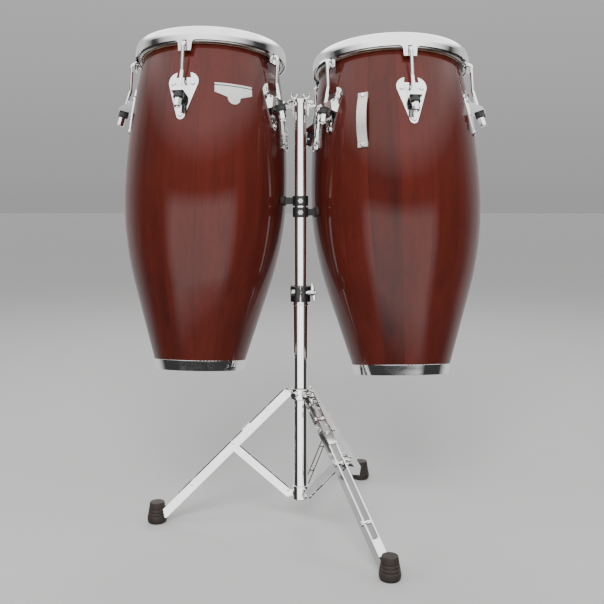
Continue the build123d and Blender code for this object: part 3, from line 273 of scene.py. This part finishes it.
class Finish(Wiring):
    """A material made of nodes, with one Principled shader."""

    def __init__(self, name):
        self.material = bpy.data.materials.new(name)
        super().__init__(self.material, "ShaderNodeBsdfPrincipled", "ShaderNodeOutputMaterial")

    def place(self, stretch=(1, 1, 1), matrix=None):
        """Object coordinates in metres, in other axes if a matrix is given, and stretched."""
        spot = self.node("ShaderNodeTexCoord", out="Object")
        if matrix is not None:
            inverse = matrix.inverted()
            turn = {"Location": inverse.to_translation(), "Rotation": inverse.to_euler(), "Vector": spot}
            spot = self.node("ShaderNodeMapping", inputs=turn)
        return self.node("ShaderNodeVectorMath", {"operation": "MULTIPLY"}, {0: spot, 1: stretch})

    def noise(self, where, scale, detail=3.0, roughness=0.5, twist=0.0):
        """Fractal noise, from 0 to 1."""
        values = {"Vector": where, "Scale": scale, "Detail": detail}
        values |= {"Roughness": roughness, "Distortion": twist}
        return self.node("ShaderNodeTexNoise", inputs=values)

    def ramp(self, value, stops):
        """A colour for a value, through a ramp's stops."""
        return self.node("ShaderNodeValToRGB", {"stops": stops}, {0: value})

    def bump(self, height, strength, distance):
        """A bumped normal."""
        values = {"Height": height, "Strength": strength, "Distance": distance}
        self.set(Normal=self.node("ShaderNodeBump", inputs=values))
        return self


# ---------------------------------------------------------------- finishes
def lacquered_staves(side, settings):
    """Deep red-brown stained staves under gloss lacquer, each stave with its own tone."""
    f = Finish(f"lacquered_staves_{side}")
    drum = DRUMS[side]
    local = f.place(matrix=drum.matrix)
    parts = f.node("ShaderNodeSeparateXYZ", inputs={0: local})
    y = Wire(f, parts.socket.node.outputs[1])
    angle = f.node("ShaderNodeMath", {"operation": "ARCTAN2"}, {0: y, 1: parts})
    count = LUGS[side] * STAVES_PER_LUG
    start = first_lug(side) / math.tau * count - 0.5
    turns = angle * (count / math.tau) - (start - 4 * count)
    within = f.node("ShaderNodeMath", {"operation": "FRACT"}, {0: turns})
    number = f.node("ShaderNodeMath", {"operation": "FLOOR"}, {0: turns})
    wrapped = f.node("ShaderNodeMath", {"operation": "MODULO"}, {0: number, 1: float(count)})
    tone = f.node("ShaderNodeTexWhiteNoise", {"noise_dimensions": "1D"}, {"W": wrapped + 0.5})
    slide = f.node("ShaderNodeCombineXYZ", inputs={0: tone * 3.0, 1: tone * 7.0, 2: tone * 2.0})
    long = f.node("ShaderNodeVectorMath", {"operation": "MULTIPLY"}, {0: local, 1: (1.0, 1.0, 0.045)})
    along = f.node("ShaderNodeVectorMath", {"operation": "ADD"}, {0: long, 1: slide})
    cloud = f.node("ShaderNodeVectorMath", {"operation": "MULTIPLY"}, {0: local, 1: (1.0, 1.0, 0.3)})
    figure = f.noise(along, 34.0, 5.0, 0.6, 0.6)
    pores = f.noise(along, 420.0, 2.0, 0.6)
    depth = f.noise(cloud, 9.0, 3.0, 0.55)
    edge = (within - 0.5) * (within - 0.5) * 4.0
    seam = f.spread(edge, 0.93, 1.0)
    mix = figure * 0.50 + depth * 0.50 + (tone - 0.5) * 0.13
    lifted = tuple(min(1.0, c * 1.55) for c in settings.stain)
    wood = f.ramp(mix, [(0.26, settings.dark), (0.46, settings.stain), (0.70, lifted)])
    fine = f.tint(f.spread(pores, 0.56, 0.72) * 0.35, wood, settings.dark)
    jointed = f.tint(seam * 0.45, fine, settings.dark)
    sheen = f.noise(f.place(), 60.0, 2.0)
    f.set(Base_Color=jointed, Roughness=0.42 + sheen * 0.08, Coat_Weight=0.45, Coat_Roughness=0.04)
    f.set(Specular_IOR_Level=0.12)
    return f.bump(figure * 0.5 + pores * 0.3 - seam * 0.8, 0.10, 0.0006).material


def bare_wood(settings):
    """The unfinished inside of the staves."""
    f = Finish("bare_wood")
    grain = f.noise(f.place((1, 1, 0.06)), 90.0, 4.0, 0.6)
    pale = tuple(c * 1.25 for c in settings.bare)
    deep = tuple(c * 0.55 for c in settings.bare)
    f.set(Base_Color=f.ramp(grain, [(0.3, deep), (0.7, pale)]), Roughness=0.7 + grain * 0.15)
    return f.bump(grain, 0.35, 0.0006).material


def rawhide(settings):
    """Natural hide: mottled cream with darker veins and a slight tooth."""
    f = Finish("rawhide")
    blotch = f.noise(f.place(), 11.0, 5.0, 0.62, 0.4)
    vein = f.noise(f.place(), 48.0, 6.0, 0.7, 1.2)
    tooth = f.noise(f.place(), 900.0, 2.0)
    warm = tuple(c * k for c, k in zip(settings.hide, (0.82, 0.70, 0.52)))
    light = tuple(min(1.0, c * 1.16) for c in settings.hide)
    body = f.ramp(blotch, [(0.30, warm), (0.55, settings.hide), (0.75, light)])
    veined = f.tint(f.spread(vein, 0.56, 0.66) * 0.35, body, warm)
    f.set(Base_Color=veined, Roughness=0.50 + blotch * 0.16)
    return f.bump(tooth * 0.4 + vein * 0.6, 0.16, 0.0005).material


def chrome_plate():
    """Bright chrome plating with faint wiped haze."""
    f = Finish("chrome_plate")
    haze = f.noise(f.place(), 22.0, 4.0, 0.6, 0.5)
    wiped = f.noise(f.place((1, 1, 0.2)), 300.0, 2.0)
    tone = f.ramp(haze, [(0.35, (0.80, 0.80, 0.80)), (0.65, (0.90, 0.895, 0.885))])
    rough = f.spread(haze, 0.35, 0.75, 0.045, 0.11) + wiped * 0.02
    f.set(Base_Color=tone, Metallic=1.0, Roughness=rough)
    return f.bump(haze * 0.6 + wiped * 0.2, 0.03, 0.0008).material


def bright_steel():
    """Plain zinc-bright steel."""
    f = Finish("bright_steel")
    cloud = f.noise(f.place(), 70.0, 4.0, 0.65)
    lines = f.noise(f.place((1, 1, 12)), 160.0, 2.0)
    tone = f.ramp(cloud, [(0.3, (0.42, 0.42, 0.41)), (0.7, (0.62, 0.61, 0.58))])
    f.set(Base_Color=tone, Metallic=1.0, Roughness=0.27 + lines * 0.12)
    return f.bump(lines, 0.12, 0.0003).material


def satin_trim():
    """Satin silver of the badge and the strap."""
    f = Finish("satin_trim")
    cloud = f.noise(f.place(), 120.0, 3.0)
    grit = f.noise(f.place(), 1800.0, 2.0)
    tone = f.ramp(cloud, [(0.3, (0.62, 0.60, 0.57)), (0.7, (0.76, 0.74, 0.70))])
    f.set(Base_Color=tone, Metallic=0.55, Roughness=0.34 + cloud * 0.10)
    return f.bump(grit, 0.12, 0.0002).material


def shield_face():
    """The badge's satin silver with one dark enamelled line below its upper edge."""
    f = Finish("shield_face")
    cloud = f.noise(f.place(), 120.0, 3.0)
    silver = f.ramp(cloud, [(0.3, (0.66, 0.65, 0.63)), (0.7, (0.78, 0.77, 0.75))])
    top = float(DRUMS["left"].local("left_badge")[:, 2].max())
    split = f.node("ShaderNodeSeparateXYZ", inputs={0: f.place(matrix=DRUMS["left"].matrix)}).socket.node
    height = Wire(f, split.outputs[2])
    under = f.spread(height, top - 6.3 * MM, top - 6.0 * MM)
    line = under * f.spread(height, top - 3.8 * MM, top - 4.1 * MM)
    f.set(Base_Color=f.tint(line, silver, (0.012, 0.011, 0.012)), Metallic=0.5 - line * 0.5)
    f.set(Roughness=0.33 + cloud * 0.10)
    return f.bump(line * -1.0, 0.35, 0.0004).material


def black_moulding():
    """Black moulded plastic with a fine eggshell grain."""
    f = Finish("black_moulding")
    grain = f.noise(f.place(), 1500.0, 2.0)
    wear = f.noise(f.place(), 60.0, 4.0, 0.6)
    tone = f.ramp(wear, [(0.35, (0.010, 0.010, 0.011)), (0.75, (0.026, 0.025, 0.026))])
    f.set(Base_Color=tone, Roughness=f.spread(wear, 0.3, 0.7, 0.32, 0.5))
    return f.bump(grain, 0.25, 0.0003).material


def boot_rubber():
    """Black-brown rubber, dusty where it has been scuffed."""
    f = Finish("boot_rubber")
    dust = f.noise(f.place(), 45.0, 5.0, 0.65)
    grain = f.noise(f.place(), 1100.0, 3.0)
    shades = [(0.30, (0.016, 0.012, 0.010)), (0.62, (0.034, 0.024, 0.019)), (0.85, (0.075, 0.058, 0.048))]
    tone = f.ramp(dust, shades)
    f.set(Base_Color=tone, Roughness=f.spread(dust, 0.3, 0.8, 0.55, 0.82))
    return f.bump(grain * 0.6 + dust * 0.4, 0.30, 0.0004).material


def floor_paper():
    """Plain pale studio paper."""
    f = Finish("floor_paper")
    tooth = f.noise(f.place(), 240.0, 2.0)
    pale = f.ramp(tooth, [(0.3, (0.68, 0.68, 0.675)), (0.7, (0.71, 0.71, 0.705))])
    f.set(Base_Color=pale, Roughness=0.85)
    return f.material


def studio_surround():
    """Soft studio: a low window in front, a bright ceiling, a dim rest, and a pale backdrop."""
    world = bpy.data.worlds.new("studio")
    w = Wiring(world, "ShaderNodeBackground", "ShaderNodeOutputWorld")
    direction = w.node("ShaderNodeTexCoord", out="Generated")
    split = w.node("ShaderNodeSeparateXYZ", inputs={0: direction}).socket.node
    depth, height = Wire(w, split.outputs[1]), Wire(w, split.outputs[2])
    front = w.spread(depth, -0.58, -0.76) * w.spread(height, -0.44, -0.37)
    window_level, ceiling_level, behind_level, dimmest, diffuse_level = 2.6, 2.4, 0.8, 0.05, 0.42
    window = front * w.spread(height, 0.22, 0.10) * window_level
    ceiling = w.spread(height, 0.36, 0.50) * ceiling_level
    behind = w.spread(depth, 0.10, 0.50) * behind_level
    mirrored = window + ceiling + behind + dimmest
    path = w.node("ShaderNodeLightPath").socket.node
    glossy, seen = Wire(w, path.outputs["Is Glossy Ray"]), Wire(w, path.outputs["Is Camera Ray"])
    level = glossy * mirrored + (1.0 - glossy) * diffuse_level
    backdrop = seen * w.spread(height, 0.0, 0.34, 0.37, 0.56) + (1.0 - seen) * level
    w.set(Strength=backdrop, Color=(1.0, 1.0, 1.0))
    return world


FINISHES = {}


def finish(name):
    """A finish by name, made once."""
    scene = bpy.context.scene
    makers = {
        "chrome_plate": chrome_plate,
        "bright_steel": bright_steel,
        "silver_trim": satin_trim,
        "shield_face": shield_face,
        "black_plastic": black_moulding,
        "black_rubber": boot_rubber,
        "rawhide": lambda: rawhide(scene.conga_heads),
        "bare_wood": lambda: bare_wood(scene.conga_shells),
        "stained_left": lambda: lacquered_staves("left", scene.conga_shells),
        "stained_right": lambda: lacquered_staves("right", scene.conga_shells),
    }
    if name not in FINISHES:
        FINISHES[name] = makers[name]()
    return FINISHES[name]


# ---------------------------------------------------------------- modelling by hand
def alone(obj):
    """Makes an object the only one selected, and active."""
    bpy.ops.object.select_all(action="DESELECT")
    obj.select_set(True)
    bpy.context.view_layer.objects.active = obj


def drawn(name, stations, steps, ends="capped"):
    """A bar drawn up Z: an oval extruded and resized along (half width, half depth, shift, height)."""
    bpy.ops.object.select_all(action="DESELECT")
    fill = "NGON" if ends == "capped" else "NOTHING"
    bpy.ops.mesh.primitive_circle_add(vertices=steps, radius=1, fill_type=fill)
    obj = bpy.context.object
    obj.name = name
    bpy.ops.object.mode_set(mode="EDIT")
    bpy.ops.mesh.select_all(action="SELECT")
    width, depth, shift, height = stations[0]
    bpy.ops.transform.resize(value=(width, depth, 1), center_override=(0, 0, 0))
    bpy.ops.transform.translate(value=(shift, 0, height))
    for (w0, d0, s0, z0), (w1, d1, s1, z1) in zip(stations, stations[1:]):
        bpy.ops.mesh.extrude_region_move(TRANSFORM_OT_translate={"value": (s1 - s0, 0, z1 - z0)})
        bpy.ops.transform.resize(value=(w1 / w0, d1 / d0, 1), center_override=(s1, 0, z1))
    if ends == "ring":
        bpy.ops.mesh.select_all(action="DESELECT")
        bpy.ops.mesh.select_non_manifold()
        bpy.ops.mesh.bridge_edge_loops()
    bpy.ops.mesh.select_all(action="SELECT")
    bpy.ops.mesh.normals_make_consistent(inside=False)
    bpy.ops.object.mode_set(mode="OBJECT")
    return obj


def lathe(name, rings, steps, ends="capped"):
    """A turned piece about Z, from ring to ring of (radius, height)."""
    return drawn(name, [(radius, radius, 0, height) for radius, height in rings], steps, ends)


def joined(first, *others):
    """Several closed pieces as one object."""
    alone(first)
    for other in others:
        other.select_set(True)
    bpy.ops.object.join()
    return first


def soften(obj, angle=35.0):
    """Smooth shading with sharp edges past an angle."""
    alone(obj)
    bpy.ops.object.shade_smooth_by_angle(angle=math.radians(angle))


def bevelled(obj, width, segments=3, angle=40.0):
    """Rounds an object's sharp edges."""
    alone(obj)
    round_off = obj.modifiers.new("edges", "BEVEL")
    round_off.width = width
    round_off.segments = segments
    round_off.limit_method = "ANGLE"
    round_off.angle_limit = math.radians(angle)
    bpy.ops.object.modifier_apply(modifier=round_off.name)


def finished(obj, finish_name, body, node, matrix=None):
    """Places a piece, gives it its finish and hangs it on its body in place of its CAD node."""
    if matrix is not None:
        obj.data.transform(matrix)
    obj.data.materials.clear()
    obj.data.materials.append(finish(finish_name))
    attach(obj, body)
    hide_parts(node)
    return obj


# ---------------------------------------------------------------- drum shells
def outer_line(side, settings, levels):
    """The shell's outer radius at heights: a straight taper, then arcs through belly and head."""
    radius, _, height = DRUMS[side].rounds(f"{side}_shell")
    foot = radius[height < 0.2 * MM].max()
    belly = radius.max()
    top = DRUMS[side].height
    near_top = height > top - 12 * MM
    head = radius[near_top].max()
    head_z = height[near_top][radius[near_top].argmax()]
    rise, draw = head_z - settings.belly_height, belly - head
    bend = (rise**2 + draw**2) / (2 * draw)
    lean = math.atan2(belly - foot, settings.knee_height)
    run = settings.belly_height - settings.knee_height
    knee_z = settings.knee_height - run * math.cos(lean)
    knee_r = belly - run * math.sin(lean)
    low_bend = (settings.belly_height - knee_z) / math.sin(lean)
    line = []
    for z in levels:
        if z >= settings.belly_height:
            r = belly - bend + math.sqrt(bend**2 - (z - settings.belly_height) ** 2)
        elif z >= knee_z:
            r = belly - low_bend + math.sqrt(low_bend**2 - (settings.belly_height - z) ** 2)
        else:
            r = foot + (knee_r - foot) * z / knee_z
        line.append((r, z))
    return line


def shell_rings(side, settings):
    """The closed section of a shell: up the outside, over the bearing edge and down the inside."""
    top, wall, edge = DRUMS[side].height, settings.wall, settings.edge_round
    levels = [*np.linspace(0, top - edge, 40)]
    outside = outer_line(side, settings, levels)
    last_r, last_z = outside[-1]
    turn = [
        (last_r - edge + edge * math.cos(a), last_z + edge * math.sin(a))
        for a in np.linspace(0, math.pi / 2, 6)[1:]
    ]
    flat = (last_r - wall, top)
    inside = [(r - wall, z) for r, z in reversed(outside)]
    return [*outside, *turn, flat, *inside]


class ShellOperator(bpy.types.Operator):
    """Turn both stave shells, lacquered outside and bare inside"""

    bl_idname = "conga.shells"
    bl_label = "Stave Shells"

    def execute(self, context):
        settings = context.scene.conga_shells
        for side in SIDES:
            steps = LUGS[side] * STAVES_PER_LUG * 8
            shell = lathe(f"{side}_shell_staves", shell_rings(side, settings), steps, ends="ring")
            finished(
                shell, f"stained_{side}", "mast", f"{side}_shell", DRUMS[side].matrix
            )
            shell.data.materials.append(finish("bare_wood"))
            axis = Vector(DRUMS[side].matrix.col[2][:3])
            for face in shell.data.polygons:
                outwards = face.center - DRUMS[side].foot
                outwards -= axis * outwards.dot(axis)
                if face.normal.dot(outwards) < 0:
                    face.material_index = 1
            soften(shell, 40)
        return {"FINISHED"}


# ---------------------------------------------------------------- heads
class HeadOperator(bpy.types.Operator):
    """Stretch the skins over the bearing edges and lap them on their hoops"""

    bl_idname = "conga.heads"
    bl_label = "Skin Heads"

    def execute(self, context):
        settings = context.scene.conga_heads
        for side in SIDES:
            radius, _, height = DRUMS[side].rounds(f"{side}_head")
            hoop_r, _, hoop_z = DRUMS[side].rounds(f"{side}_flesh_hoop")
            top, low = height.max(), height.min()
            outer, skin = radius.max(), settings.skin
            edge_r = radius[height > top - 0.1 * MM].max()
            round_over = outer - edge_r
            tuck = (hoop_r.max() - hoop_r.min()) / 2
            tuck_z = (hoop_z.max() + hoop_z.min()) / 2
            face = [
                (edge_r * share, top + settings.crown * (1 - share**2))
                for share in (0.12, 0.35, 0.55, 0.72, 0.85, 0.95, 1.0)
            ]
            over = [
                (edge_r + round_over * math.sin(a), top - round_over * (1 - math.cos(a)))
                for a in np.linspace(0, math.pi / 2, 7)[1:]
            ]
            drop = [(outer, z) for z in np.linspace(over[-1][1], tuck_z + tuck, 4)[1:]]
            foot = [(outer, low), (outer - skin, low)]
            inside = [(outer - skin, over[-1][1])]
            bend = round_over - skin
            under = [
                (edge_r - skin * 0.2 + bend * math.sin(a), top - skin - bend * (1 - math.cos(a)))
                for a in np.linspace(math.pi / 2, 0, 5)[1:]
            ]
            back = [(r, z - skin) for r, z in reversed(face[:-1])]
            rings = [*face, *over, *drop, *foot, *inside, *under, *back]
            head = lathe(f"{side}_head_skin", rings, 144)
            finished(head, "rawhide", "mast", f"{side}_head", DRUMS[side].matrix)
            soften(head, 50)
        return {"FINISHED"}


# ---------------------------------------------------------------- boots
class BootOperator(bpy.types.Operator):
    """Mould the ribbed rubber boots"""

    bl_idname = "conga.boots"
    bl_label = "Rubber Boots"

    def execute(self, context):
        settings = context.scene.conga_stand
        for name in [node for node in NODES if node.startswith("foot_")]:
            low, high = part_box(name)
            wide = (high.x - low.x) / 2
            height = high.z - low.z
            sole, mouth = wide * 0.88, wide * 0.74
            flare = 0.28
            rings = [(sole * 0.45, 0.8 * MM), (sole * 0.5, 0), (sole, 0), (wide * 0.955, height * 0.05)]
            rings += [(wide, height * 0.16), (wide * 0.995, height * flare)]
            start, end = 0.34, 0.80
            pitch = (end - start) / max(settings.boot_ribs, 1)
            for rib in range(settings.boot_ribs):
                at = start + rib * pitch
                for share, cut in ((0.0, 0.0), (0.18, 1.0), (0.34, 1.0), (0.52, 0.0)):
                    level = at + share * pitch
                    plain = wide + (mouth - wide) * (level - flare) / (1 - flare)
                    rings.append((plain - cut * settings.rib_depth, height * level))
            rings += [(mouth * 1.04, height * 0.93), (mouth, height * 0.985)]
            rings += [(mouth * 0.94, height), (mouth * 0.6, height)]
            boot = lathe(f"{name}_boot", rings, 64)
            centre = Matrix.Translation(((low.x + high.x) / 2, (low.y + high.y) / 2, low.z))
            bevelled(boot, 0.35 * MM, 2, 30)
            body = name.replace("foot_", "leg_")
            finished(boot, "black_rubber", body, name, centre)
            soften(boot, 45)
        return {"FINISHED"}


# ---------------------------------------------------------------- wing bolts
def blade(name, side, settings):
    """One wing of a crosshead bolt, which rises and leans outwards from the hub."""
    half = settings.wing_thickness / 2
    path = ((2.2, 0.8, 2.6, 1.0), (3.0, 1.0, 4.4, 4.5), (3.1, 1.0, 6.3, 9.0))
    path += ((2.3, 0.9, 7.5, 13.0), (0.9, 0.6, 7.9, 14.9))
    stations = [(w * MM, depth * half, side * x * MM, z * MM) for w, depth, x, z in path]
    return drawn(name, stations, 20)


class WingOperator(bpy.types.Operator):
    """Cast the wing bolts of the crosshead and of the height clamp"""

    bl_idname = "conga.wings"
    bl_label = "Wing Bolts"

    def execute(self, context):
        settings = context.scene.conga_stand
        for side in SIDES:
            node = f"{side}_crosshead_knob"
            low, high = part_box(node)
            spot = Vector(((low.x + high.x) / 2, (low.y + high.y) / 2, low.z))
            seat = high.z - low.z - 15 * MM
            rings = [(2.5, 0), (3.0, 0.6), (3.0, seat / MM), (5.3, seat / MM), (5.6, seat / MM + 0.6)]
            rings += [(5.4, seat / MM + 4.5), (4.2, seat / MM + 6.4), (2.0, seat / MM + 7.0)]
            hub = lathe(f"{side}_wing_bolt", [(r * MM, z * MM) for r, z in rings], 32)
            wings = [blade(f"{side}_wing", way, settings) for way in (-1, 1)]
            for wing in wings:
                wing.data.transform(Matrix.Translation((0, 0, seat)))
            turn = Matrix.Rotation(math.atan2(spot.y, spot.x) + math.pi / 2, 4, "Z")
            knob = joined(hub, *wings)
            finished(knob, "chrome_plate", node, node, Matrix.Translation(spot) @ turn)
            soften(knob, 40)
        low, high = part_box("clamp_bolt")
        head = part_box("height_clamp")[1].x + 0.1 * MM
        reach = (head - low.x) / MM
        end = (high.x - low.x) / MM
        rings = [(3.5, 0), (4.0, 0.6), (4.0, reach), (6.6, reach), (7.0, reach + 0.7), (7.0, reach + 5.5)]
        rings += [(5.2, reach + 8.0), (4.6, end - 7.0), (4.2, end - 1.5), (2.4, end - 0.3)]
        hub = lathe("clamp_wing_bolt", [(r * MM, z * MM) for r, z in rings], 40)
        span = (high.z - low.z) / 2 / MM
        path = ((0.9, 0.9), (2.9, 1.9), (3.5, 2.3), (4.4, 2.5), (5.4, 2.7))
        path += path[-2::-1]
        stations = []
        for (width, depth), share in zip(path, (-1, -0.95, -0.75, -0.35, 0, 0.35, 0.75, 0.95, 1)):
            lean = -2.2 * math.sin(share * math.pi / 2)
            stations.append((width * MM, depth * MM, lean * MM, share * span * MM))
        bar = drawn("clamp_wings", stations, 24)
        upright = Matrix.Translation((high.x - 7.6 * MM, 0, 0))
        along = Matrix.Translation((low.x, 0, 0)) @ Matrix.Rotation(math.pi / 2, 4, "Y")
        hub.data.transform(along)
        bar.data.transform(upright)
        bolt = joined(hub, bar)
        middle = Matrix.Translation((0, (low.y + high.y) / 2, (low.z + high.z) / 2))
        finished(bolt, "chrome_plate", "clamp_bolt", "clamp_bolt", middle)
        soften(bolt, 40)
        return {"FINISHED"}


# ---------------------------------------------------------------- plain CAD nodes
class HardwareOperator(bpy.types.Operator):
    """Plate the hardware and mould the plastic that keep their engineered shape"""

    bl_idname = "conga.hardware"
    bl_label = "Hardware Finishes"

    def execute(self, context):
        for part in frame["record"]["subparts"]:
            node = NODES[part["node"]]
            if node.hide_render:
                continue
            node.data.materials.clear()
            node.data.materials.append(finish(OWN_FINISH.get(part["node"], part["material_slot"])))
        return {"FINISHED"}


# ---------------------------------------------------------------- stage
class StageOperator(bpy.types.Operator):
    """Set the camera, the studio lights and the pale floor"""

    bl_idname = "conga.stage"
    bl_label = "Studio"

    def execute(self, context):
        scene = context.scene
        lens_data = bpy.data.cameras.new("camera")
        lens_data.sensor_width = CAMERA_SENSOR
        lens_data.lens = CAMERA_LENS
        lens_data.shift_x, lens_data.shift_y = CAMERA_SHIFT
        camera = bpy.data.objects.new("camera", lens_data)
        camera.location = CAMERA_AT
        camera.rotation_euler = (math.radians(90), 0, 0)
        scene.collection.objects.link(camera)
        scene.camera = camera
        bpy.ops.object.select_all(action="DESELECT")
        bpy.ops.mesh.primitive_plane_add(size=FLOOR_SIZE, location=(0, 0, CAD_BOX[0].z))
        floor = context.object
        floor.name = "floor"
        bpy.ops.object.transform_apply(location=True)
        floor.data.materials.append(floor_paper())
        floor.visible_glossy = False
        scene.world = studio_surround()
        lamps = (
            ("key", (-0.25, -2.8, 2.7), 1.7, 95.0),
            ("left", (-2.5, -0.6, 1.9), 1.2, 16.0),
            ("right", (2.5, -0.6, 1.9), 1.2, 16.0),
            ("back", (0.0, 2.4, 2.8), 1.8, 30.0),
        )
        for name, spot, size, power in lamps:
            light = bpy.data.lights.new(name, "AREA")
            light.size = size
            light.energy = power
            lamp = bpy.data.objects.new(name, light)
            lamp.location = spot
            lamp.visible_glossy = False
            aim = LAMPS_AIM - Vector(spot)
            lamp.rotation_euler = aim.to_track_quat("-Z", "Y").to_euler()
            scene.collection.objects.link(lamp)
        return {"FINISHED"}


class CongaPanel(bpy.types.Panel):
    """Lists the pieces and their settings in the sidebar"""

    bl_idname = "VIEW3D_PT_congas"
    bl_label = "Conga Drums"
    bl_space_type = "VIEW_3D"
    bl_region_type = "UI"
    bl_category = "Congas"

    def draw(self, context):
        for group in (context.scene.conga_shells, context.scene.conga_heads, context.scene.conga_stand):
            for name in group.__annotations__:
                self.layout.prop(group, name)
        for operator in PIECES:
            self.layout.operator(operator.bl_idname)


PIECES = (StageOperator, ShellOperator, HeadOperator, BootOperator, WingOperator, HardwareOperator)
SETTINGS = {"conga_shells": ShellSettings, "conga_heads": HeadSettings, "conga_stand": StandSettings}


def register():
    for group in SETTINGS.values():
        bpy.utils.register_class(group)
    for cls in (*PIECES, CongaPanel):
        bpy.utils.register_class(cls)
    for name, group in SETTINGS.items():
        setattr(bpy.types.Scene, name, PointerProperty(type=group))


def unregister():
    for name in SETTINGS:
        delattr(bpy.types.Scene, name)
    for cls in reversed((*PIECES, CongaPanel)):
        bpy.utils.unregister_class(cls)
    for group in SETTINGS.values():
        bpy.utils.unregister_class(group)


def main():
    register()
    bpy.ops.conga.stage()
    bpy.ops.conga.shells()
    bpy.ops.conga.heads()
    bpy.ops.conga.boots()
    bpy.ops.conga.wings()
    bpy.ops.conga.hardware()


if __name__ == "__main__":
    main()
